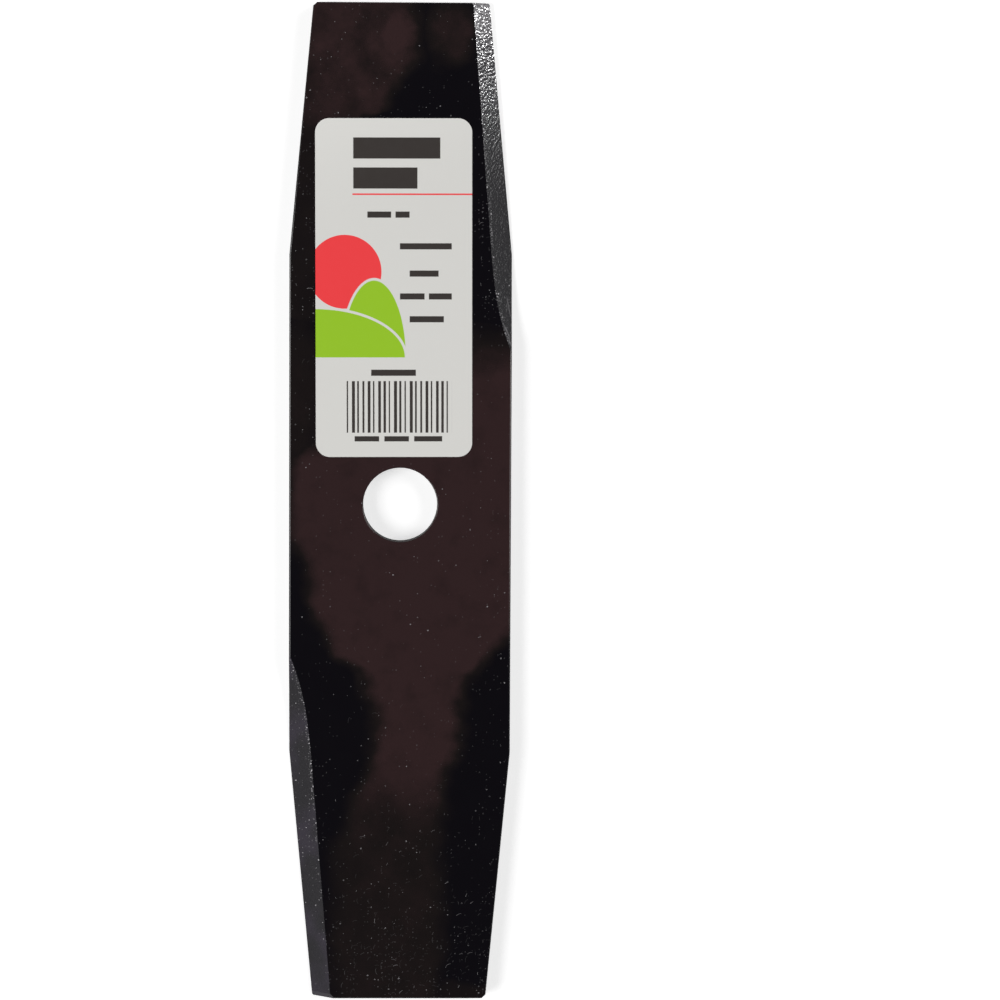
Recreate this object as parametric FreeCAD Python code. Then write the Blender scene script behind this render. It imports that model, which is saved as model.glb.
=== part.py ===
import FreeCAD, Part
import math
import os

# A lawn edger blade and the paper label on its face.
# The blade is one flat steel bar with a spindle hole in the middle, tapered ends and a cutting
# edge ground on the leading side of each end. Half a turn about the hole brings it back onto itself.
# X runs across the bar, Y along it towards the labelled end, and Z up through its thickness.
# The origin is the middle of the hole, on the back face.
# Lengths are in millimetres and angles in degrees.

# The bar
blade_length = 228.6
blade_width = 50.8
blade_thickness = 4.76
straight_length = 114.3
end_width = 40.0
plain_corner_cut = 0.85
tip_corner_radius = 0.5
face_edge_radius = 0.4
back_edge_radius = 0.15

# The hole, with the soft rim that the punch draws in on the face
bore_radius = 8.5
bore_rim_radius = 0.25

# The ground bevels. An inset is the flat's distance from the side, seen from above. Each end is
# ground by itself, so the two bevels differ a little in width.
bevel_insets_at_corner = {"labelled end": 4.75, "plain end": 5.05}
bevel_insets_at_tip = {"labelled end": 3.8, "plain end": 4.3}
bevel_slope = 42.0
wheel_radius = 88.9
finish_stop = 56.3
rough_stop = 52.7
rough_allowance = 0.1
tip_facet_lengths = {"labelled end": 0.5, "plain end": 1.1}
tip_facet_slope = 30.0

# The label
label_width = 35.7
label_length = 77.1
label_corner_radius = 3.2
label_thickness = 0.12
label_centre_x = -1.6
label_centre_y = 49.55
label_turn = 0.25

UP = FreeCAD.Vector(0, 0, 1)
half_length = blade_length / 2
half_width = blade_width / 2
taper_start = straight_length / 2
half_end = end_width / 2


def half_turn(shape, times=1):
    """A copy of a shape, turned about the hole by this many half turns."""
    copy = shape.copy()
    copy.rotate(FreeCAD.Vector(0, 0, 0), UP, 180 * times)
    return copy


def rounded_corner(before, corner, after, radius):
    """The arc that rounds the corner of an outline, tangent to both of its sides."""
    to_before = (before - corner).normalize()
    to_after = (after - corner).normalize()
    half_angle = to_before.getAngle(to_after) / 2
    setback = radius / math.tan(half_angle)
    to_centre = (to_before + to_after).normalize()
    middle = corner + to_centre * (radius / math.sin(half_angle) - radius)
    return Part.Arc(corner + to_before * setback, middle, corner + to_after * setback).toShape()


def closed_face(pieces):
    """A flat face inside edges that follow each other, with straight lines across their gaps."""
    edges = []
    for piece, following in zip(pieces, pieces[1:] + pieces[:1]):
        edges.append(piece)
        end, start = piece.lastVertex(True).Point, following.firstVertex(True).Point
        if end.distanceToPoint(start) > 1e-7:
            edges.append(Part.makeLine(end, start))
    return Part.Face(Part.Wire(edges))


def half_outline():
    """The straight side, the rounded cutting tip and the cut plain corner at the labelled end."""
    side_start = FreeCAD.Vector(half_width, -taper_start, 0)
    side_end = FreeCAD.Vector(half_width, taper_start, 0)
    tip = FreeCAD.Vector(half_end, half_length, 0)
    plain = FreeCAD.Vector(-half_end, half_length, 0)
    plain_side = FreeCAD.Vector(-half_width, taper_start, 0)
    down_taper = (plain_side - plain).normalize()
    along_end = (tip - plain).normalize()
    return [
        Part.makeLine(side_start, side_end),
        rounded_corner(side_end, tip, plain, tip_corner_radius),
        Part.makeLine(plain + along_end * plain_corner_cut, plain + down_taper * plain_corner_cut),
    ]


def edges_at_height(solid, height):
    """The edges of a solid that lie flat at one height."""
    box_of = [(edge, edge.BoundBox) for edge in solid.Edges]
    return [edge for edge, box in box_of if abs(box.ZMin - height) < 1e-6 and abs(box.ZMax - height) < 1e-6]


def blank():
    """The bar as it is stamped: its outline with soft edges, before the hole and the grinding."""
    outline = half_outline()
    outline += [half_turn(piece) for piece in outline]
    bar = closed_face(outline).extrude(UP * blade_thickness)
    bar = bar.makeFillet(face_edge_radius, edges_at_height(bar, blade_thickness))
    return bar.makeFillet(back_edge_radius, edges_at_height(bar, 0))


def bore():
    """What the hole takes away: a straight wall that opens in a quarter round at the face."""
    rim_bottom = blade_thickness - bore_rim_radius
    rim_mouth = bore_radius + bore_rim_radius
    quarter = math.radians(45)
    arc_middle = FreeCAD.Vector(
        rim_mouth - bore_rim_radius * math.cos(quarter), 0, rim_bottom + bore_rim_radius * math.sin(quarter)
    )
    rim = Part.Arc(
        FreeCAD.Vector(bore_radius, 0, rim_bottom), arc_middle, FreeCAD.Vector(rim_mouth, 0, blade_thickness)
    ).toShape()
    foot = Part.makeLine(FreeCAD.Vector(0, 0, 0), FreeCAD.Vector(bore_radius, 0, 0))
    axis = Part.makeLine(FreeCAD.Vector(0, 0, blade_thickness), FreeCAD.Vector(0, 0, 0))
    return closed_face([foot, rim, axis]).revolve(FreeCAD.Vector(0, 0, 0), UP, 360)


def bevel_frame(along, slope):
    """The directions along a bevel, down its slope to the side and straight out of it."""
    across = along.cross(UP)
    tilt = math.radians(slope)
    down = across * math.cos(tilt) - UP * math.sin(tilt)
    out = across * math.sin(tilt) + UP * math.cos(tilt)
    return along, down, out


def bevel_line(end):
    """The edge between an end's bevel and the face: a point beside the taper's start, and its direction."""
    start = FreeCAD.Vector(half_width - bevel_insets_at_corner[end], taper_start, blade_thickness)
    finish = FreeCAD.Vector(half_end - bevel_insets_at_tip[end], half_length, blade_thickness)
    return start, (finish - start).normalize()


def wheel_pass(end, stop, allowance):
    """What one pass of the grinding wheel takes away from an end.

    It is flat from the tip down to the stop, where the wheel lifts off and leaves its own radius.
    The allowance is how far above the finished bevel the pass stays.
    """
    start, direction = bevel_line(end)
    along, down, out = bevel_frame(direction, bevel_slope)
    foot = start + along * ((stop - taper_start) / along.y) + out * allowance
    past_tip = along * (half_length - stop + blade_width)
    height = blade_thickness
    lift = math.acos(1 - height / wheel_radius)
    hub = foot + out * wheel_radius

    def on_wheel(turn):
        return hub - out * (wheel_radius * math.cos(turn)) - along * (wheel_radius * math.sin(turn))

    run_out = Part.Arc(on_wheel(lift), on_wheel(lift / 2), foot).toShape()
    far_side = Part.makeLine(foot + past_tip, foot + past_tip + out * height)
    profile = closed_face([run_out, far_side])
    inward = down * -blade_thickness
    profile.translate(inward)
    return profile.extrude(down * (blade_thickness + half_width))


def tip_facet(end):
    """What the small slanted facet takes away where an end's bevel meets the end of the bar."""
    length = tip_facet_lengths[end]
    start, direction = bevel_line(end)
    out = bevel_frame(direction, bevel_slope)[2]
    beside_end = FreeCAD.Vector(0, 1, 0).cross(out).normalize()
    along = out.cross(beside_end)
    tip = start + direction * ((half_length - taper_start) / direction.y)
    foot = tip - along * (length / along.y)
    reach = length + half_end
    drop = reach * math.tan(math.radians(tip_facet_slope))
    corners = [foot, foot + along * reach - out * drop, foot + along * reach + out * drop]
    profile = Part.Face(Part.makePolygon(corners + corners[:1]))
    profile.translate(beside_end * -blade_thickness)
    return profile.extrude(beside_end * (blade_thickness + half_width))


def blade():
    """The finished steel bar."""
    steel = blank().cut(bore())
    for times, end in enumerate(("labelled end", "plain end")):
        cuts = [wheel_pass(end, finish_stop, 0), wheel_pass(end, rough_stop, rough_allowance), tip_facet(end)]
        for cut in cuts:
            steel = steel.cut(half_turn(cut, times))
    return steel.Solids[0]


def label():
    """The paper label, a rounded rectangle lying on the face."""
    x, y = label_width / 2, label_length / 2
    corners = [FreeCAD.Vector(*place) for place in ((x, -y), (x, y), (-x, y), (-x, -y))]
    arcs = []
    for index, corner in enumerate(corners):
        following = corners[(index + 1) % len(corners)]
        arcs.append(rounded_corner(corners[index - 1], corner, following, label_corner_radius))
    paper = closed_face(arcs).extrude(UP * label_thickness)
    paper.rotate(FreeCAD.Vector(0, 0, 0), UP, label_turn)
    paper.translate(FreeCAD.Vector(label_centre_x, label_centre_y, blade_thickness))
    return paper


os.makedirs("parts", exist_ok=True)
for name, solid in (("blade", blade()), ("label", label())):
    solid.exportStep(f"parts/{name}.step")
    box = solid.optimalBoundingBox()
    size = [round(length, 3) for length in (box.XLength, box.YLength, box.ZLength)]
    print(name, "valid", solid.isValid(), "volume", round(solid.Volume, 2), "size", size)
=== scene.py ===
"""The finish of a lawn edger blade: gloss black paint over stamped steel, rough ground bevels and
a printed paper label, with the pale studio that it is shown in.

The solids come from model.glb. Everything here is in metres, in the model's own axes: X across the
blade, Y along it towards the labelled end, Z up out of the bevelled face. Patterns are worked out in
millimetres on the piece.
"""

import math

import bmesh
import bpy
from mathutils import Matrix, Vector, noise


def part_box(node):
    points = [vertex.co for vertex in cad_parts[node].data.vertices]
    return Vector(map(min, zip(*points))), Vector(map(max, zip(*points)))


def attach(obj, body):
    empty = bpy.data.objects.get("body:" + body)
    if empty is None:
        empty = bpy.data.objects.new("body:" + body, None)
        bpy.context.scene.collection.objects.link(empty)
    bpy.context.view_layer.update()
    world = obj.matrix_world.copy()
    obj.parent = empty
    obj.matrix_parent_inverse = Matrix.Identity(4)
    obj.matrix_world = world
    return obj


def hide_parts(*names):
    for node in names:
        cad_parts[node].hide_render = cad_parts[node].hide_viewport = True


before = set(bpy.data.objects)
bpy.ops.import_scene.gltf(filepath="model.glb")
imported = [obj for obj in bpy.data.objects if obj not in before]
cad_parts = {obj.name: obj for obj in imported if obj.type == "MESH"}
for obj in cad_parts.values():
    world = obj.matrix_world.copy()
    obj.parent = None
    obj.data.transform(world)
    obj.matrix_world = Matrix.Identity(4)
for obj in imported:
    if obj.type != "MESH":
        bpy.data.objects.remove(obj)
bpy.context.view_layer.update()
blade_low, blade_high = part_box("blade")
label_low, label_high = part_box("label")

bl_info = {
    "name": "Lawn Edger Blade",
    "version": (1, 0, 0),
    "blender": (4, 5, 0),
    "location": "3D View > Sidebar > Edger Blade",
    "description": "Paints an edger blade, prints its label and sets up its studio",
    "category": "Object",
}

MM = 0.001


def linear(red, green, blue):
    """A colour as it is seen on a screen, from 0 to 255, as Blender's linear numbers."""

    def channel(value):
        share = value / 255
        if share <= 0.04045:
            return share / 12.92
        return ((share + 0.055) / 1.055) ** 2.4

    return tuple(channel(value) for value in (red, green, blue))


# Settings


class PaintSettings(bpy.types.PropertyGroup):
    """The black paint on the blade's flat faces and sides."""

    # On the faces the black is the paint's own colour, and the olive and the brown are a painted
    # reflection laid over it in bands, not thinner paint. On the sides the brown tints worn patches.
    black: bpy.props.FloatVectorProperty(
        name="Black",
        description="Blue-black of the thicker paint",
        default=linear(9, 7, 12),
        size=3,
        min=0,
        max=1,
        subtype="COLOR",
    )
    olive: bpy.props.FloatVectorProperty(
        name="Olive",
        description="Dull tone between the black and the brown",
        default=linear(23, 18, 18),
        size=3,
        min=0,
        max=1,
        subtype="COLOR",
    )
    brown: bpy.props.FloatVectorProperty(
        name="Brown",
        description="Brown of the thinner paint, where the steel warms it",
        default=linear(47, 32, 33),
        size=3,
        min=0,
        max=1,
        subtype="COLOR",
    )
    # The dust colour also gives the tone of the painted highlights on the bevels.
    dust: bpy.props.FloatVectorProperty(
        name="Dust",
        description="Dust specks and fine scratches on the paint",
        default=linear(172, 169, 172),
        size=3,
        min=0,
        max=1,
        subtype="COLOR",
    )
    roughness: bpy.props.FloatProperty(
        name="Roughness",
        description="Roughness of the clean gloss paint",
        default=0.16,
        min=0,
        max=1,
        subtype="FACTOR",
    )
    peel_size: bpy.props.FloatProperty(
        name="Orange peel",
        description="Width of the soft waves in the paint",
        default=1.4 * MM,
        unit="LENGTH",
    )


class BevelSettings(bpy.types.PropertyGroup):
    """The ground bevels, painted over their grinding marks."""

    colour: bpy.props.FloatVectorProperty(
        name="Colour",
        description="Paint on the ground steel",
        default=linear(17, 14, 20),
        size=3,
        min=0,
        max=1,
        subtype="COLOR",
    )
    tint: bpy.props.FloatVectorProperty(
        name="Tint",
        description="Lilac of the thin paint in places on the smoother bevel",
        default=linear(37, 31, 43),
        size=3,
        min=0,
        max=1,
        subtype="COLOR",
    )
    roughness: bpy.props.FloatProperty(
        name="Roughness",
        description="Roughness of the paint on the ground steel",
        default=0.25,
        min=0,
        max=1,
        subtype="FACTOR",
    )
    pit_size: bpy.props.FloatProperty(
        name="Pit size",
        description="Width of the finest pits, which the coarse wheel leaves at the labelled end",
        default=0.62 * MM,
        unit="LENGTH",
    )
    pit_depth: bpy.props.FloatProperty(
        name="Pit depth",
        description="Depth of the finest pits",
        default=0.22 * MM,
        unit="LENGTH",
    )
    cell: bpy.props.FloatProperty(
        name="Cell",
        description="Size of the mesh cells that the grinding marks are cut into",
        default=0.2 * MM,
        min=0.1 * MM,
        unit="LENGTH",
    )
    coarse_depth: bpy.props.FloatProperty(
        name="Coarse depth",
        description="Depth of the pits at the labelled end, which a coarse wheel ground",
        default=0.08 * MM,
        unit="LENGTH",
    )
    fine_depth: bpy.props.FloatProperty(
        name="Fine depth",
        description="Depth of the pits at the plain end",
        default=0.012 * MM,
        unit="LENGTH",
    )


class LabelSettings(bpy.types.PropertyGroup):
    """The paper label and its print."""

    paper: bpy.props.FloatVectorProperty(
        name="Paper",
        description="Unprinted coated paper",
        default=linear(213, 212, 208),
        size=3,
        min=0,
        max=1,
        subtype="COLOR",
    )
    dark_ink: bpy.props.FloatVectorProperty(
        name="Dark ink",
        description="Ink of the bars and stripes",
        default=linear(46, 40, 37),
        size=3,
        min=0,
        max=1,
        subtype="COLOR",
    )
    green_ink: bpy.props.FloatVectorProperty(
        name="Green ink",
        description="Ink of the lawn",
        default=linear(145, 192, 24),
        size=3,
        min=0,
        max=1,
        subtype="COLOR",
    )
    red_ink: bpy.props.FloatVectorProperty(
        name="Red ink",
        description="Ink of the disc and the rule",
        default=linear(236, 56, 61),
        size=3,
        min=0,
        max=1,
        subtype="COLOR",
    )
    turn: bpy.props.FloatProperty(
        name="Turn",
        description="How far the label was stuck on askew",
        default=math.radians(0.25),
        subtype="ANGLE",
    )


class StageSettings(bpy.types.PropertyGroup):
    """The floor, the camera and the lights."""

    floor_width: bpy.props.FloatProperty(
        name="Floor width",
        description="Width of the floor under the blade",
        default=6.0,
        unit="LENGTH",
    )
    camera_place: bpy.props.FloatVectorProperty(
        name="Camera",
        description="Where the camera stands",
        default=(-0.96 * MM, 65.22 * MM, 900 * MM),
        size=3,
        subtype="TRANSLATION",
        unit="LENGTH",
    )
    camera_aim: bpy.props.FloatVectorProperty(
        name="Aim",
        description="The point on the blade's face level that the camera looks at",
        default=(22.85 * MM, 1.2 * MM, 4.76 * MM),
        size=3,
        subtype="TRANSLATION",
        unit="LENGTH",
    )
    camera_roll: bpy.props.FloatProperty(
        name="Roll",
        description="How far the camera is turned about its own axis",
        default=math.radians(-0.293),
        subtype="ANGLE",
    )
    lens: bpy.props.FloatProperty(
        name="Lens",
        description="Focal length on a 36 mm wide sensor",
        default=141.16,
        min=1,
    )


# Nodes written as expressions


class Term:
    """A number that varies over a surface: an output socket that Python's operators work on."""

    def __init__(self, nodes, socket):
        self.nodes = nodes
        self.socket = socket

    def maths(self, operation, *others):
        """What one Math node makes of this number and others."""
        inputs = dict(enumerate((self, *others)))
        return self.nodes.add("ShaderNodeMath", {"operation": operation}, inputs).first()

    def __add__(self, other):
        return self.maths("ADD", other)

    __radd__ = __add__

    def __sub__(self, other):
        return self.maths("SUBTRACT", other)

    def __rsub__(self, other):
        return (self * -1) + other

    def __mul__(self, other):
        return self.maths("MULTIPLY", other)

    __rmul__ = __mul__

    def __truediv__(self, other):
        return self.maths("DIVIDE", other)

    def __pow__(self, power):
        return self.maths("POWER", power)

    def __abs__(self):
        return self.maths("ABSOLUTE")

    def sine(self):
        return self.maths("SINE")

    def cosine(self):
        return self.maths("COSINE")

    def fraction(self):
        return self.maths("FRACT")

    def above(self, low, high):
        """0 below low, 1 above high, and a smooth rise between them. With low over high it falls."""
        settings = {"interpolation_type": "SMOOTHSTEP"}
        values = {"Value": self, "From Min": low, "From Max": high, "To Min": 0.0, "To Max": 1.0}
        return self.nodes.add("ShaderNodeMapRange", settings, values).first()


def largest(first, *others):
    """The largest of several numbers at each point."""
    for other in others:
        first = first.maths("MAXIMUM", other)
    return first


class Added:
    """A node that was just added, to read its outputs from."""

    def __init__(self, nodes, node):
        self.nodes = nodes
        self.node = node

    def first(self):
        return Term(self.nodes, self.node.outputs[0])

    def output(self, name):
        return Term(self.nodes, self.node.outputs[name])


class Nodes:
    """The nodes of one material or world."""

    def __init__(self, owner):
        owner.use_nodes = True
        self.tree = owner.node_tree
        self.tree.nodes.clear()

    def add(self, kind, settings=None, values=None):
        """A new node of a kind: its settings first, then its sockets' values or links."""
        node = self.tree.nodes.new(kind)
        for name, value in (settings or {}).items():
            if name == "ramp":
                self.set_ramp(node.color_ramp, value)
            else:
                setattr(node, name, value)
        for name, value in (values or {}).items():
            self.feed(node.inputs[name], value)
        return Added(self, node)

    def set_ramp(self, ramp, stops):
        ramp.elements[0].color = (*stops[0][1], 1)
        ramp.elements[-1].color = (*stops[-1][1], 1)
        for place, colour in stops[1:-1]:
            ramp.elements.new(place).color = (*colour, 1)

    def feed(self, socket, value):
        if isinstance(value, Term):
            self.tree.links.new(value.socket, socket)
        elif socket.type == "RGBA" and len(value) == 3:
            socket.default_value = (*value, 1)
        else:
            socket.default_value = value

    def mix(self, low, high, share):
        """A colour from low to high by a share."""
        node = self.tree.nodes.new("ShaderNodeMix")
        node.data_type = "RGBA"
        self.feed(node.inputs["Factor"], share)
        colours = [socket for socket in node.inputs if socket.type == "RGBA"]
        self.feed(colours[0], low)
        self.feed(colours[1], high)
        return Term(self, next(socket for socket in node.outputs if socket.type == "RGBA"))

    def place(self, centre=(0, 0, 0), turn=0.0, stretch=(1, 1, 1)):
        """The point on the piece in millimetres, from a centre, turned about Z and stretched."""
        coordinates = self.add("ShaderNodeTexCoord").output("Object")
        scale = tuple(MM * factor for factor in stretch)
        values = {"Vector": coordinates, "Location": centre, "Rotation": (0, 0, turn), "Scale": scale}
        return self.add("ShaderNodeMapping", {"vector_type": "TEXTURE"}, values).first()

    def parts(self, vector):
        """The X, Y and Z of a vector."""
        split = self.add("ShaderNodeSeparateXYZ", None, {0: vector})
        return [split.output(axis) for axis in "XYZ"]

    def less(self, vector, other):
        """One vector less another."""
        return self.add("ShaderNodeVectorMath", {"operation": "SUBTRACT"}, {0: vector, 1: other}).first()

    def noise(self, vector, size, detail=2.0, roughness=0.5):
        """Soft noise from 0 to 1 with features about this many millimetres wide."""
        values = {"Vector": vector, "Scale": 1 / size, "Detail": detail, "Roughness": roughness}
        return self.add("ShaderNodeTexNoise", {"noise_dimensions": "3D"}, values).first()

    def cells(self, vector, size):
        """Scattered cells this many millimetres wide: the place within a cell, and its random colour."""
        values = {"Vector": vector, "Scale": 1 / size}
        node = self.add("ShaderNodeTexVoronoi", {"voronoi_dimensions": "2D"}, values)
        return self.less(vector, node.output("Position")), node.output("Color")

    def surface(self, **sockets):
        """A Principled surface with these sockets, joined to the output."""
        values = {name.replace("_", " "): value for name, value in sockets.items()}
        shader = self.add("ShaderNodeBsdfPrincipled", None, values).output("BSDF")
        self.add("ShaderNodeOutputMaterial", None, {"Surface": shader})

    def bump(self, height, distance):
        """A normal from a height, where 1 stands this many metres out."""
        values = {"Height": height, "Distance": distance, "Strength": 1.0}
        return self.add("ShaderNodeBump", None, values).first()


# The ground blade

# Along the blade from its middle: where the search for a bevel starts and where its run-out ends.
RUN_OUT_START = 33 * MM
RUN_OUT_TIP = 35.4 * MM
# The length over which the grinding marks fade at both ends of a bevel.
EASING = 1.2 * MM
# Edges that turn less than FLAT lie inside one face, and those that turn more than SHARP are creases.
FLAT = math.radians(0.1)
SHARP = math.radians(28)
# As shares of a mesh cell: its rise up the bevel's slope, and the gap to the border that is closed.
SLOPE_RISE = 0.67
SLIVER = 0.35
FACE, GROUND, SIDE = 0, 1, 2


def parts_of(faces):
    """Faces with all their edges and corners, as bmesh's operators want them."""
    edges = dict.fromkeys(edge for face in faces for edge in face.edges)
    corners = dict.fromkeys(corner for face in faces for corner in face.verts)
    return [*faces, *edges, *corners]


def sort_faces(shape):
    """Mark each face of the blade as painted face, ground bevel or stamped side."""
    for face in shape.faces:
        middle = face.calc_center_median()
        end = math.copysign(1, middle.y)
        leans_out = face.normal.x * end > 0.5 and 0.6 < face.normal.z < 0.9
        if leans_out and middle.y * end > RUN_OUT_START:
            face.material_index = GROUND
        elif abs(face.normal.z) < 0.3:
            face.material_index = SIDE


def join_sides(shape):
    """Make each flat stretch of the sides one face, so that no seam meets the bevel's uneven foot."""
    seams = []
    for edge in shape.edges:
        on_side = all(face.material_index == SIDE for face in edge.link_faces)
        if on_side and edge.calc_face_angle(1) < FLAT:
            seams.append(edge)
    bmesh.ops.dissolve_limit(shape, angle_limit=FLAT, verts=[], edges=seams)


def ground_faces(shape, end=0):
    """The bevels' faces, at one end or at both."""
    ground = [face for face in shape.faces if face.material_index == GROUND]
    return [face for face in ground if end == 0 or face.calc_center_median().y * end > 0]


def cut_strips(shape, faces, direction, low, high, width):
    """Cut faces into strips of one width, square to a direction, between two distances along it."""
    for index in range(1, math.ceil((high - low) / width)):
        place = direction * (low + index * width)
        parts = parts_of(faces)
        cut = bmesh.ops.bisect_plane(shape, geom=parts, plane_co=place, plane_no=direction, dist=1e-7)
        pieces = [item for item in cut["geom"] if isinstance(item, bmesh.types.BMFace)]
        faces = [face for face in pieces if (face.calc_center_median() - place).dot(direction) > 0]
        if not faces:
            return


def ease(point):
    """1 over a bevel, and down to 0 at its tip and at the point of its run-out, where it is narrow."""
    along = abs(point.y)
    return max(0, min(1, (blade_high.y - along) / EASING, (along - RUN_OUT_TIP) / EASING))


def ground_corners(shape):
    """The corners of the bevels' faces."""
    return list(dict.fromkeys(corner for face in ground_faces(shape) for corner in face.verts))


def weld_slivers(shape, reach):
    """Draw corners that lie just inside a bevel's border onto it, so that no thin face is left there."""
    corners = [corner for corner in ground_corners(shape) if ease(corner.co) > 0.5]
    border = []
    for corner in corners:
        if any(face.material_index != GROUND for face in corner.link_faces):
            border.append(corner)
    found = bmesh.ops.find_doubles(shape, verts=corners, keep_verts=border, dist=reach)
    bmesh.ops.weld_verts(shape, targetmap=found["targetmap"])
    bmesh.ops.dissolve_degenerate(shape, dist=1e-6, edges=shape.edges)


def grinding_depth(point, bevel):
    """How far the ground surface stands out of the flat bevel at a point, from its pits and scores.

    The factors beside X and Y say how many waves there are to a millimetre, and a third number keeps
    one pattern apart from the others.
    """
    spot = Vector((point.x, point.y, 0)) / MM
    if spot.y < 0:
        ripple = noise.noise(Vector((spot.x * 0.8, spot.y * 0.35, 4)))
        return bevel.fine_depth * (ripple + 0.4 * noise.noise(spot * 1.9))
    drift = 0.5 * noise.noise(spot * 0.5)
    near_tip = min(1, max(0, (spot.y - 88) / 18))
    near_run_out = min(1, max(0, (66 - spot.y) / 20))
    pits = noise.noise(Vector((spot.x * 1.5, spot.y * 1.2, 1)) + Vector((drift, drift, 0)))
    folds = 1 - 2 * abs(noise.noise(Vector((spot.x * 1.3, spot.y * 0.9 + drift, 5))))
    streaks = noise.noise(Vector((spot.x * 2.2 + spot.y * 0.2, spot.y * 0.4, 7)))
    stipple = noise.noise(spot * 2.6)
    scores = noise.noise(Vector((spot.x * 2.4 + spot.y * 0.3, spot.y * 0.12, 3)))
    rough = pits * 0.6 + folds * 0.3 + streaks * near_tip * 0.2
    rough *= 1 - 0.75 * near_run_out
    height = rough * (0.45 + 0.55 * near_tip) + stipple * 0.16 + scores * near_run_out * 0.3
    return bevel.coarse_depth * height


def slide(corner, bevel):
    """How far a corner of the ground mesh moves: out of the bevel, or along a plain face it touches."""
    ground = [face.normal for face in corner.link_faces if face.material_index == GROUND]
    plain = []
    for face in corner.link_faces:
        if face.material_index != GROUND and all(face.normal.dot(known) < 0.999 for known in plain):
            plain.append(face.normal.copy())
    out = sum(ground, Vector()).normalized()
    height = grinding_depth(corner.co, bevel) * ease(corner.co)
    if not plain:
        return out * height
    if len(plain) > 1:
        return Vector()
    along = out - plain[0] * out.dot(plain[0])
    return along * (height / along.dot(out))


class EDGER_OT_grind_blade(bpy.types.Operator):
    """Put a blade with finely ground bevels in the place of the plain one"""

    bl_idname = "edger.grind_blade"
    bl_label = "Grind the bevels"
    bl_options = {"REGISTER", "UNDO"}

    def execute(self, context):
        bevel = context.scene.edger_bevel
        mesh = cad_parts["blade"].data.copy()
        mesh.name = "ground_blade"
        mesh.materials.clear()
        shape = bmesh.new()
        shape.from_mesh(mesh)
        bmesh.ops.remove_doubles(shape, verts=shape.verts, dist=1e-6)
        shape.normal_update()
        sort_faces(shape)
        join_sides(shape)
        for end in (1, -1):
            along = Vector((0, end, 0))
            cut_strips(shape, ground_faces(shape, end), along, RUN_OUT_START, blade_high.y, bevel.cell)
        up = Vector((0, 0, 1))
        cut_strips(shape, ground_faces(shape), up, blade_low.z, blade_high.z, bevel.cell * SLOPE_RISE)
        weld_slivers(shape, bevel.cell * SLIVER)
        shape.normal_update()
        for face in shape.faces:
            face.smooth = True
        for edge in shape.edges:
            edge.smooth = edge.calc_face_angle(0) < SHARP
        moves = {corner: slide(corner, bevel) for corner in ground_corners(shape)}
        for corner, move in moves.items():
            limits = zip(corner.co + move, blade_low, blade_high)
            corner.co = [min(max(value, low), high) for value, low, high in limits]
        shape.to_mesh(mesh)
        shape.free()
        piece = bpy.data.objects.new("ground_blade", mesh)
        context.scene.collection.objects.link(piece)
        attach(piece, "root")
        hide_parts("blade")
        return {"FINISHED"}


# The blade's paint

# Down the blade, in millimetres: Y, the X between which the painted brown reflection lies there, and how
# brown.
BROWN_REFLECTION_BANDS = (
    (115.0, -30.0, 4.0, 0.68),
    (101.0, -30.0, 3.5, 0.74),
    (96.0, -30.0, 0.0, 0.74),
    (90.0, -30.0, -3.0, 0.7),
    (86.0, -30.0, -17.0, 0.36),
    (44.0, -30.0, -17.0, 0.33),
    (41.0, -17.0, 30.0, 0.05),
    (29.0, -17.0, 30.0, 0.95),
    (15.0, -18.5, 30.0, 1.0),
    (8.0, -25.0, 30.0, 1.0),
    (-6.0, -25.5, 30.0, 1.0),
    (-14.0, -22.5, 30.0, 1.0),
    (-21.0, -20.5, 30.0, 1.0),
    (-27.0, -18.5, 27.0, 1.0),
    (-33.0, -15.5, 22.5, 1.0),
    (-39.0, -8.5, 16.5, 0.95),
    (-49.0, -4.5, 14.0, 1.0),
    (-58.0, -6.0, 12.5, 1.0),
    (-66.0, -9.0, 9.5, 0.8),
    (-73.0, -12.0, 10.0, 0.5),
    (-80.0, -15.0, 10.0, 0.44),
    (-115.0, -16.0, 9.5, 0.44),
)
# Smaller patches of painted brown reflection: centre X, Y and half sizes in millimetres, and how brown.
BROWN_REFLECTION_PATCHES = (
    (11.5, 108.0, 6.0, 8.5, 0.6),
    (-1.0, 108.0, 5.0, 8.0, 1.0),
    (17.0, -113.0, 9.0, 3.0, 0.3),
    (-23.0, 25.0, 5.0, 20.0, 0.42),
)
# Down the blade, in millimetres: Y, and the share of cells that hold a mark there, in the middle, in
# the left strip and in the right one. Specks come first, then scratches.
SPECK_BANDS = (
    (115.0, 0.03, 0.03, 0.16),
    (95.0, 0.045, 0.05, 0.16),
    (84.0, 0.06, 0.12, 0.2),
    (45.0, 0.06, 0.12, 0.2),
    (34.0, 0.02, 0.04, 0.02),
    (0.0, 0.035, 0.03, 0.05),
    (-40.0, 0.038, 0.03, 0.05),
    (-62.0, 0.045, 0.05, 0.06),
    (-80.0, 0.05, 0.05, 0.08),
    (-97.0, 0.085, 0.085, 0.12),
    (-102.0, 0.12, 0.12, 0.3),
    (-115.0, 0.13, 0.13, 0.35),
)
SCRATCH_BANDS = (
    (115.0, 0.0, 0.05, 0.1),
    (40.0, 0.0, 0.05, 0.1),
    (30.0, 0.0, 0.0, 0.0),
    (-60.0, 0.02, 0.04, 0.04),
    (-76.0, 0.16, 0.1, 0.1),
    (-95.0, 0.2, 0.2, 0.3),
    (-102.0, 0.4, 0.3, 0.5),
    (-115.0, 0.4, 0.3, 0.5),
)
# The Y and X, each way from the middle, that the bands' numbers are shares of.
LONGEST_Y = 115.0
WIDEST_X = 30.0
# How bright a speck or scratch is: most are near the faintest, and the power says how few are bright.
FAINTEST_MARK = 0.08
BRIGHTEST_MARK = 0.6
MARK_POWER = 8
# Stretches one random number until its fraction serves as another.
RESHUFFLE = 97


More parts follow.
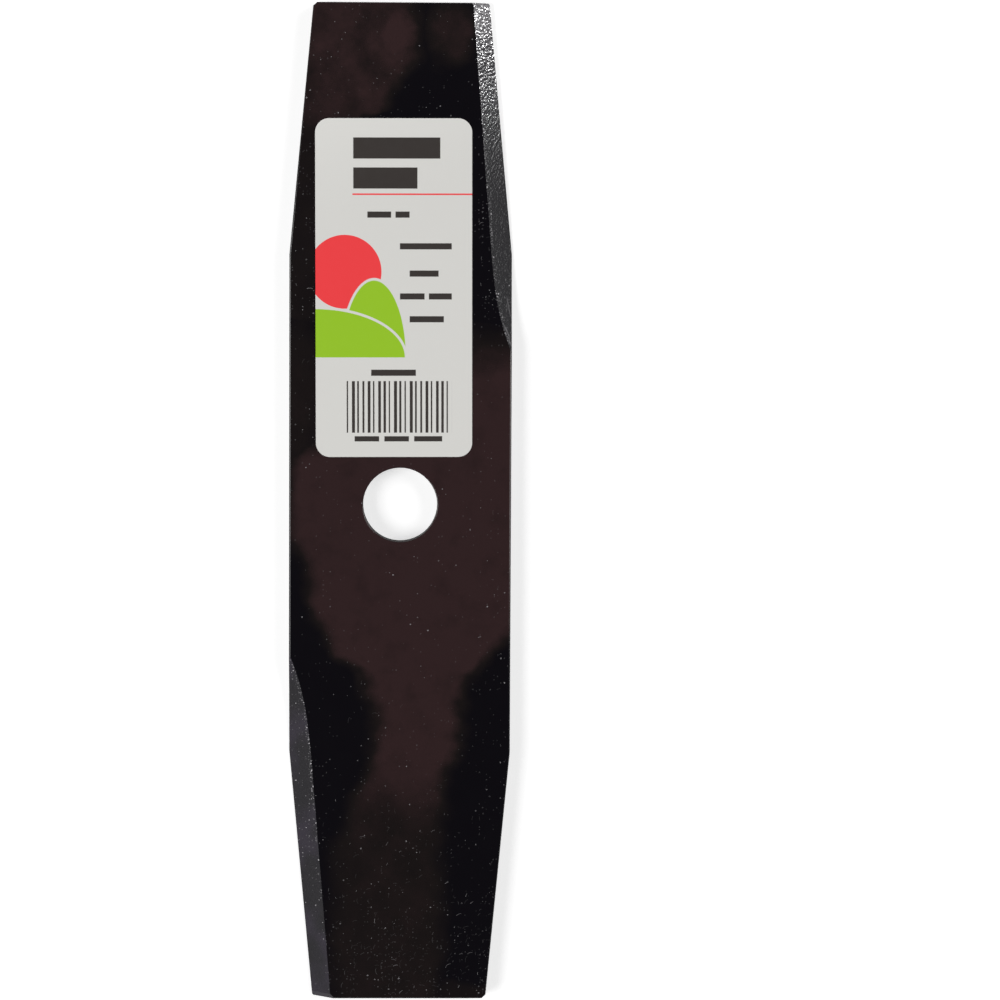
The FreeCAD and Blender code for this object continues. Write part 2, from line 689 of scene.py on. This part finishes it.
def down_blade(nodes, y, bands):
    """Three numbers from 0 to 1 that change along the blade, from bands of Y and the numbers there."""
    stops = [((band[0] / LONGEST_Y + 1) / 2, band[1:]) for band in reversed(bands)]
    share = (y / LONGEST_Y + 1) / 2
    return nodes.parts(nodes.add("ShaderNodeValToRGB", {"ramp": stops}, {"Fac": share}).output("Color"))


def brown_reflection_share(nodes, point, x, y):
    """How strongly the painted brown reflection shows at each point, from 0 to 1."""
    x = x + (nodes.noise(point, 8, detail=3) - 0.5) * 7
    elsewhere = nodes.place(centre=(0.1, 0, 0))
    y = y + (nodes.noise(elsewhere, 8, detail=3) - 0.5) * 7
    bands = []
    for height, left, right, strength in BROWN_REFLECTION_BANDS:
        bands.append((height, (left / WIDEST_X + 1) / 2, (right / WIDEST_X + 1) / 2, strength))
    left, right, strength = down_blade(nodes, y, bands)
    left_edge = (x - (left * 2 - 1) * WIDEST_X).above(-3.5, 3.5)
    right_edge = ((right * 2 - 1) * WIDEST_X - x).above(-3, 3)
    share = left_edge * right_edge * strength
    for centre_x, centre_y, half_x, half_y, strength in BROWN_REFLECTION_PATCHES:
        across = (x - centre_x) / half_x
        down = (y - centre_y) / half_y
        share = largest(share, (across * across + down * down).above(1.6, 0) * strength)
    return share


def marks(nodes, point, spacing, amount, length, half_width):
    """Specks or short bent scratches, one in a share of the cells, at random sizes, tones and turns."""
    place, colour = nodes.cells(point, spacing)
    chance, size, angle = nodes.parts(colour)
    x, y, _ = nodes.parts(place)
    angle = angle * 2.2 - 0.3
    along = x * angle.cosine() + y * angle.sine()
    across = y * angle.cosine() - x * angle.sine() + along * along * (size - 0.5)
    past_end = (abs(along) - size * size * length).maths("MAXIMUM", 0)
    distance = (past_end * past_end + across * across).maths("SQRT")
    half_width = (size * 0.6 + 0.8) * half_width
    chosen = (amount - chance).above(0.0, 0.005)
    tone = (chance * RESHUFFLE).fraction() ** MARK_POWER * BRIGHTEST_MARK + FAINTEST_MARK
    return (half_width - distance).above(-0.03, 0.03) * chosen * tone


def paint_marks(nodes, point, x, y):
    """Dust and scratches, thickest at the plain end and in its corner away from the bevel."""
    side = x.above(-17.5, -19), x.above(17, 18.5)
    amounts = []
    for bands in (SPECK_BANDS, SCRATCH_BANDS):
        middle, left, right = down_blade(nodes, y, bands)
        amounts.append(middle + (left - middle) * side[0] + (right - middle) * side[1])
    clusters = nodes.noise(point, 5, detail=3).above(0.35, 0.65) * 2.4 + 0.4
    specks = marks(nodes, point, 0.8, amounts[0] * clusters, 0.08, 0.095)
    shifted = nodes.place(centre=(0.0137, 0.0211, 0))
    scratches = marks(nodes, shifted, 1.5, amounts[1] * clusters, 0.75, 0.04)
    return largest(specks, scratches * 0.7)


def paint_face(paint):
    """Gloss paint, blue-black, with a painted brown reflection over it in bands and patches, and dust on
    it.
    """
    material = bpy.data.materials.new("gloss_black_paint")
    nodes = Nodes(material)
    point = nodes.place()
    x, y, _ = nodes.parts(point)
    mottle = nodes.noise(point, 6, detail=4, roughness=0.6) - 0.5
    # The brown is a painted reflection in the gloss paint.
    brown = brown_reflection_share(nodes, point, x, y) * (mottle * (y.above(80, 95) * 0.7 + 0.8) + 1)
    tones = [(0, paint.black), (0.42, paint.olive), (1, paint.brown)]
    colour = nodes.add("ShaderNodeValToRGB", {"ramp": tones}, {"Fac": brown}).first()
    dust = paint_marks(nodes, point, x, y)
    colour = nodes.mix(colour, paint.dust, dust * 0.75)
    peel = nodes.noise(point, paint.peel_size / MM, detail=1)
    normal = nodes.bump(peel * 0.06 + dust * 0.05, 0.12 * MM)
    roughness = nodes.noise(point, 6, detail=3) * 0.08 + (paint.roughness - 0.04) + dust * 0.4
    nodes.surface(Base_Color=colour, Roughness=roughness, Normal=normal)
    return material


# Single scores across the ground steel, in millimetres: from X, Y to X, Y.
TIP_GROOVES = (
    (18.6, 114.0, 20.1, 107.5),
    (19.15, 114.0, 20.6, 108.3),
)
# Pale lines on the run-out, painted as the highlights of chatter ridges that are not shaped: from X, Y to
# X, Y.
RUN_OUT_RIDGES = (
    (23.0, 42.4, 25.4, 37.4),
    (24.1, 48.2, 25.2, 42.6),
    (24.4, 39.0, 25.5, 35.8),
)


def scored_lines(nodes, lines, half_width):
    """Straight tapering lines, from 0 to 1."""
    shares = []
    for from_x, from_y, to_x, to_y in lines:
        centre = ((from_x + to_x) / 2 * MM, (from_y + to_y) / 2 * MM, 0)
        reach = math.hypot(to_x - from_x, to_y - from_y) / 2
        along, across, _ = nodes.parts(nodes.place(centre, math.atan2(to_y - from_y, to_x - from_x)))
        taper = (reach - abs(along)).above(0, reach * 0.7)
        shares.append(abs(across).above(half_width, half_width * 0.3) * taper)
    return largest(*shares)


def grinding_relief(nodes, point, y, bevel):
    """The height of the finest marks: domed pits at the labelled tip, then ripples, then a smooth end."""
    tip = y.above(79, 101)
    smooth_cells = {"voronoi_dimensions": "2D", "feature": "SMOOTH_F1"}
    values = {"Vector": point, "Scale": MM / bevel.pit_size, "Smoothness": 0.3}
    reach = nodes.add("ShaderNodeTexVoronoi", smooth_cells, values).output("Distance")
    domes = reach * reach * -0.8
    lumps = nodes.noise(point, bevel.pit_size / MM, detail=1.5, roughness=0.6)
    diagonal = nodes.place(turn=math.radians(40), stretch=(2, 0.8, 1))
    ripples = nodes.noise(diagonal, bevel.pit_size / MM, detail=1)
    relief = domes * tip + lumps * 0.5 + ripples * (1 - tip) * (y.above(66, 86) * 1.3 + 0.35)
    relief = relief - scored_lines(nodes, TIP_GROOVES, 0.28) * 0.7
    return relief * (y.above(-5, 5) * 0.9 + 0.1), lumps


def paint_bevel(bevel, paint):
    """Thin paint over the grinding marks, with dust specks, and with painted highlights along the edge of
    the face, on the run-out and at the labelled tip.
    """
    material = bpy.data.materials.new("painted_grinding_marks")
    nodes = Nodes(material)
    point = nodes.place()
    _, y, z = nodes.parts(point)
    plain_end = y.above(5, -5)
    face_level = blade_high.z / MM
    by_face = z.above(face_level - 0.8, face_level - 0.35)
    specks = marks(nodes, point, 0.8, y.above(-92, -86) * plain_end * 0.2 + 0.08, 0.05, 0.09)
    # Painted highlights: bright specks on the beaded paint along the edge of the face.
    bead_highlights = marks(nodes, point, 0.6, by_face * (y.above(-82, -62) * 0.75 + 0.2), 0.1, 0.13)
    tint = nodes.noise(point, 12, detail=2).above(0.4, 0.65) * plain_end
    colour = nodes.mix(bevel.colour, bevel.tint, tint)
    # Painted highlights along the run-out's chatter ridges.
    ridge_highlights = scored_lines(nodes, RUN_OUT_RIDGES, 0.2)
    # Painted highlight: the bevel lightens towards its labelled tip.
    tip_highlight = y.above(103, 112)
    # The painted highlights here and below take the dust colour as their tone.
    colour = nodes.mix(colour, paint.dust, largest(ridge_highlights * 0.22, tip_highlight * 0.17))
    colour = nodes.mix(colour, paint.dust, largest(specks * 1.6, bead_highlights * 2.5))
    relief, lumps = grinding_relief(nodes, point, y, bevel)
    normal = nodes.bump(relief, bevel.pit_depth)
    nodes.surface(Base_Color=colour, Roughness=lumps * 0.1 + (bevel.roughness - 0.05), Normal=normal)
    return material


def paint_side(paint):
    """Paint over the torn grain of the stamped sides."""
    material = bpy.data.materials.new("painted_stamped_side")
    nodes = Nodes(material)
    point = nodes.place(stretch=(1, 1, 3))
    torn = nodes.noise(point, 0.35, detail=4, roughness=0.65)
    worn = nodes.noise(point, 5, detail=3).above(0.5, 0.75)
    colour = nodes.mix(paint.black, paint.brown, worn * 0.6)
    normal = nodes.bump(torn, 0.08 * MM)
    nodes.surface(Base_Color=colour, Roughness=torn * 0.2 + 0.25, Normal=normal)
    return material


class EDGER_OT_paint_blade(bpy.types.Operator):
    """Give the blade its gloss black paint, its dust and scratches and its ground bevels"""

    bl_idname = "edger.paint_blade"
    bl_label = "Paint the blade"
    bl_options = {"REGISTER", "UNDO"}

    def execute(self, context):
        paint = context.scene.edger_paint
        bevel = context.scene.edger_bevel
        materials = bpy.data.objects["ground_blade"].data.materials
        materials.append(paint_face(paint))
        materials.append(paint_bevel(bevel, paint))
        materials.append(paint_side(paint))
        return {"FINISHED"}


# The label's paper and print

# Print in millimetres from the label's middle. A bar is its left and right, its foot and its top.
TITLE_BARS = (
    (-9.2, 10.6, 29.4, 34.2),
    (-9.2, 5.4, 22.6, 27.4),
)
SMALL_BARS = (
    (-6.0, -0.6, 16.0, 17.4),
    (0.4, 3.6, 16.0, 17.4),
    (1.4, 13.2, 8.8, 10.2),
    (3.6, 10.2, 2.6, 4.0),
    (1.4, 7.0, -2.6, -1.2),
    (8.0, 13.2, -2.6, -1.2),
    (3.6, 11.4, -7.8, -6.4),
    (-5.2, 5.0, -20.0, -18.6),
    (-9.0, -3.4, -35.0, -33.8),
    (-2.2, 3.4, -35.0, -33.8),
    (4.6, 11.0, -35.0, -33.8),
)
RULE = (-9.4, 18.5, 21.15, 21.5)
STRIPES = (-10.8, 13.2, -33.0, -21.2)
STRIPE_PITCH = 1.2
# Ellipses: the centre from the label's left edge and above the lawn's foot, and the two half sizes.
LAWN_FOOT = -15.8
NEAR_HILL = (0, 0, 20.5, 11.0)
FAR_HILL = (13.5, 0, 7.2, 17.5)
DISC = (6.8, 19.5, 8.4, 8.4)
# The bare paper between two printed shapes, and the soft edge of the ink.
PAPER_LINE = 0.6
EDGE_SOFTNESS = 0.05


def inside(distance):
    """1 where a distance in millimetres into a printed shape is positive, with a soft edge."""
    return distance.above(-EDGE_SOFTNESS, EDGE_SOFTNESS)


def bar(u, v, corners):
    """An upright printed rectangle from its left, right, foot and top."""
    left, right, foot, top = corners
    across = (right - left) / 2 - abs(u - (left + right) / 2)
    along = (top - foot) / 2 - abs(v - (foot + top) / 2)
    return inside(across.maths("MINIMUM", along))


def ellipse(u, v, left, sizes, margin=0.0):
    """A printed ellipse, placed from the label's left edge and grown by a margin in millimetres."""
    centre_u, centre_v, half_width, half_height = sizes
    across = (u - (left + centre_u)) / (half_width + margin)
    along = (v - (LAWN_FOOT + centre_v)) / (half_height + margin)
    reach = (across * across + along * along).maths("SQRT")
    return inside((1 - reach) * min(half_width, half_height))


class EDGER_OT_print_label(bpy.types.Operator):
    """Give the label its coated paper and its plain printed shapes"""

    bl_idname = "edger.print_label"
    bl_label = "Print the label"
    bl_options = {"REGISTER", "UNDO"}

    def execute(self, context):
        settings = context.scene.edger_label
        material = bpy.data.materials.new("printed_label_paper")
        nodes = Nodes(material)
        middle = (label_low + label_high) / 2
        point = nodes.place(centre=tuple(middle), turn=settings.turn)
        u, v, _ = nodes.parts(point)

        dark = largest(*(bar(u, v, corners) for corners in TITLE_BARS + SMALL_BARS))
        stripe = (u / STRIPE_PITCH).fraction()
        width = (u * 1.9).sine() * 0.17 + 0.42
        stripes = ((width - stripe) * STRIPE_PITCH).above(-EDGE_SOFTNESS, EDGE_SOFTNESS)
        dark = largest(dark, stripes * bar(u, v, STRIPES))

        left = -(label_high.x - label_low.x) / 2 / MM
        foot = inside(v - LAWN_FOOT)
        near_hill = ellipse(u, v, left, NEAR_HILL)
        gap = ellipse(u, v, left, NEAR_HILL, margin=PAPER_LINE)
        far_hill = ellipse(u, v, left, FAR_HILL) * (1 - gap)
        disc = ellipse(u, v, left, DISC)
        halo = ellipse(u, v, left, FAR_HILL, margin=PAPER_LINE)
        green = largest(near_hill, far_hill) * foot
        red = largest(disc * (1 - halo) * (1 - gap), bar(u, v, RULE))

        smudge = nodes.noise(point, 7, detail=3) * 0.04
        paper = nodes.mix(settings.paper, (0.5, 0.49, 0.48), smudge)
        colour = nodes.mix(paper, settings.green_ink, green)
        colour = nodes.mix(colour, settings.red_ink, red)
        colour = nodes.mix(colour, settings.dark_ink, dark)
        roughness = nodes.noise(point, 2, detail=2) * 0.1 + 0.42
        fibres = nodes.noise(point, 0.25, detail=3) * 0.6 + nodes.noise(point, 5, detail=1) * 2
        normal = nodes.bump(fibres, 0.006 * MM)
        nodes.surface(Base_Color=colour, Roughness=roughness, Normal=normal)
        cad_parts["label"].material_slots[0].material = material
        return {"FINISHED"}


# The studio

# The soft lamps: name, place and width in metres, and power in watts.
SOFTBOXES = (
    ("left_softbox", (-1.1, -0.3, 1.0), 1.0, 21),
    ("right_softbox", (1.1, 0.4, 0.9), 0.9, 13),
)
# The low lamp: where it stands, where it points, its cone in degrees and its power in watts.
EDGE_LAMP = ((0.463, 0.27, 0.04), (0.018, 0.127, 0.003), 10.5, 13.5)
EDGE_LAMP_RADIUS = 0.012
FLOOR_GAP = 0.05 * MM
# The floor's grey under the lamps, and the glow that makes it white to the camera alone.
FLOOR_GREY = 0.6
FLOOR_GLOW = 0.58
# The room's light: from straight above, and what the horizon adds to it.
OVERHEAD_GLOW = 0.04
HORIZON_GLOW = 0.36


def add_floor(width):
    """A plain white floor at the level that the blade lies on."""
    mesh = bpy.data.meshes.new("floor")
    shape = bmesh.new()
    bmesh.ops.create_grid(shape, x_segments=1, y_segments=1, size=width / 2)
    shape.to_mesh(mesh)
    shape.free()
    mesh.transform(Matrix.Translation((0, 0, blade_low.z - FLOOR_GAP)))
    floor = bpy.data.objects.new("floor", mesh)
    bpy.context.scene.collection.objects.link(floor)
    material = bpy.data.materials.new("white_floor")
    nodes = Nodes(material)
    diffuse = nodes.add("ShaderNodeBsdfDiffuse", None, {"Color": (FLOOR_GREY,) * 3}).first()
    seen = nodes.add("ShaderNodeLightPath").output("Is Camera Ray") * FLOOR_GLOW
    white = nodes.add("ShaderNodeEmission", None, {"Color": (1, 1, 1), "Strength": seen}).first()
    both = nodes.add("ShaderNodeAddShader", None, {0: diffuse, 1: white}).first()
    nodes.add("ShaderNodeOutputMaterial", None, {"Surface": both})
    mesh.materials.append(material)


def add_lamp(name, place, size, power):
    """A soft square lamp at a place, facing the blade's middle."""
    data = bpy.data.lights.new(name, "AREA")
    data.shape = "SQUARE"
    data.size = size
    data.energy = power
    lamp = bpy.data.objects.new(name, data)
    lamp.location = place
    lamp.rotation_euler = (-Vector(place)).to_track_quat("-Z", "Y").to_euler()
    lamp.visible_camera = False
    bpy.context.scene.collection.objects.link(lamp)


def add_edge_lamp(place, aim, cone, power):
    """A small low lamp that glances off one bevel's tip: its cone in degrees and its power."""
    data = bpy.data.lights.new("edge_lamp", "SPOT")
    data.energy = power
    data.spot_size = math.radians(cone)
    data.spot_blend = 1
    data.shadow_soft_size = EDGE_LAMP_RADIUS
    lamp = bpy.data.objects.new("edge_lamp", data)
    lamp.location = place
    lamp.rotation_euler = (Vector(aim) - Vector(place)).to_track_quat("-Z", "Y").to_euler()
    bpy.context.scene.collection.objects.link(lamp)


def add_camera(settings):
    """The camera, which looks at its aim with the blade's length upright in the picture."""
    place = Vector(settings.camera_place)
    forward = (Vector(settings.camera_aim) - place).normalized()
    right = forward.cross(Vector((0, 1, 0))).normalized()
    up = right.cross(forward)
    up = up * math.cos(settings.camera_roll) + right * math.sin(settings.camera_roll)
    right = forward.cross(up)
    data = bpy.data.cameras.new("camera")
    data.sensor_width = 36
    data.lens = settings.lens
    data.clip_start = 0.01
    data.clip_end = 50
    camera = bpy.data.objects.new("camera", data)
    camera.location = place
    camera.rotation_euler = Matrix((right, up, -forward)).transposed().to_euler()
    bpy.context.scene.collection.objects.link(camera)
    bpy.context.scene.camera = camera


def light_world():
    """Room light that is pale at the horizon and dark overhead, on a white background."""
    world = bpy.data.worlds.new("studio")
    bpy.context.scene.world = world
    nodes = Nodes(world)
    direction = nodes.add("ShaderNodeTexCoord").output("Generated")
    _, _, height = nodes.parts(direction)
    glow = height.above(0.75, 0.2) * HORIZON_GLOW + OVERHEAD_GLOW
    seen = nodes.add("ShaderNodeLightPath").output("Is Camera Ray")
    strength = glow * (1 - seen) + seen
    white = {"Color": (1, 1, 1), "Strength": strength}
    background = nodes.add("ShaderNodeBackground", None, white).first()
    nodes.add("ShaderNodeOutputWorld", None, {"Surface": background})


class EDGER_OT_set_stage(bpy.types.Operator):
    """Add the floor, the lights and the camera"""

    bl_idname = "edger.set_stage"
    bl_label = "Set the stage"
    bl_options = {"REGISTER", "UNDO"}

    def execute(self, context):
        settings = context.scene.edger_stage
        add_floor(settings.floor_width)
        light_world()
        for name, place, size, power in SOFTBOXES:
            add_lamp(name, place, size, power)
        add_edge_lamp(*EDGE_LAMP)
        add_camera(settings)
        context.scene.view_settings.view_transform = "Standard"
        return {"FINISHED"}


# The add-on


class EDGER_PT_panel(bpy.types.Panel):
    """The blade's settings and the steps that use them"""

    bl_idname = "EDGER_PT_panel"
    bl_label = "Edger Blade"
    bl_space_type = "VIEW_3D"
    bl_region_type = "UI"
    bl_category = "Edger Blade"

    def draw(self, context):
        for operator, group in STEPS:
            box = self.layout.box()
            for name in GROUPS[group].__annotations__:
                box.prop(getattr(context.scene, group), name)
            box.operator(operator)


# Each step with the group that it reads. The blade is ground before it is painted.
STEPS = (
    ("edger.grind_blade", "edger_bevel"),
    ("edger.paint_blade", "edger_paint"),
    ("edger.print_label", "edger_label"),
    ("edger.set_stage", "edger_stage"),
)
GROUPS = {
    "edger_paint": PaintSettings,
    "edger_bevel": BevelSettings,
    "edger_label": LabelSettings,
    "edger_stage": StageSettings,
}
CLASSES = (
    *GROUPS.values(),
    EDGER_OT_grind_blade,
    EDGER_OT_paint_blade,
    EDGER_OT_print_label,
    EDGER_OT_set_stage,
    EDGER_PT_panel,
)


def register():
    for item in CLASSES:
        bpy.utils.register_class(item)
    for name, group in GROUPS.items():
        setattr(bpy.types.Scene, name, bpy.props.PointerProperty(type=group))


def unregister():
    for name in GROUPS:
        delattr(bpy.types.Scene, name)
    for item in reversed(CLASSES):
        bpy.utils.unregister_class(item)


def main():
    register()
    bpy.ops.edger.grind_blade()
    bpy.ops.edger.paint_blade()
    bpy.ops.edger.print_label()
    bpy.ops.edger.set_stage()


if __name__ == "__main__":
    main()
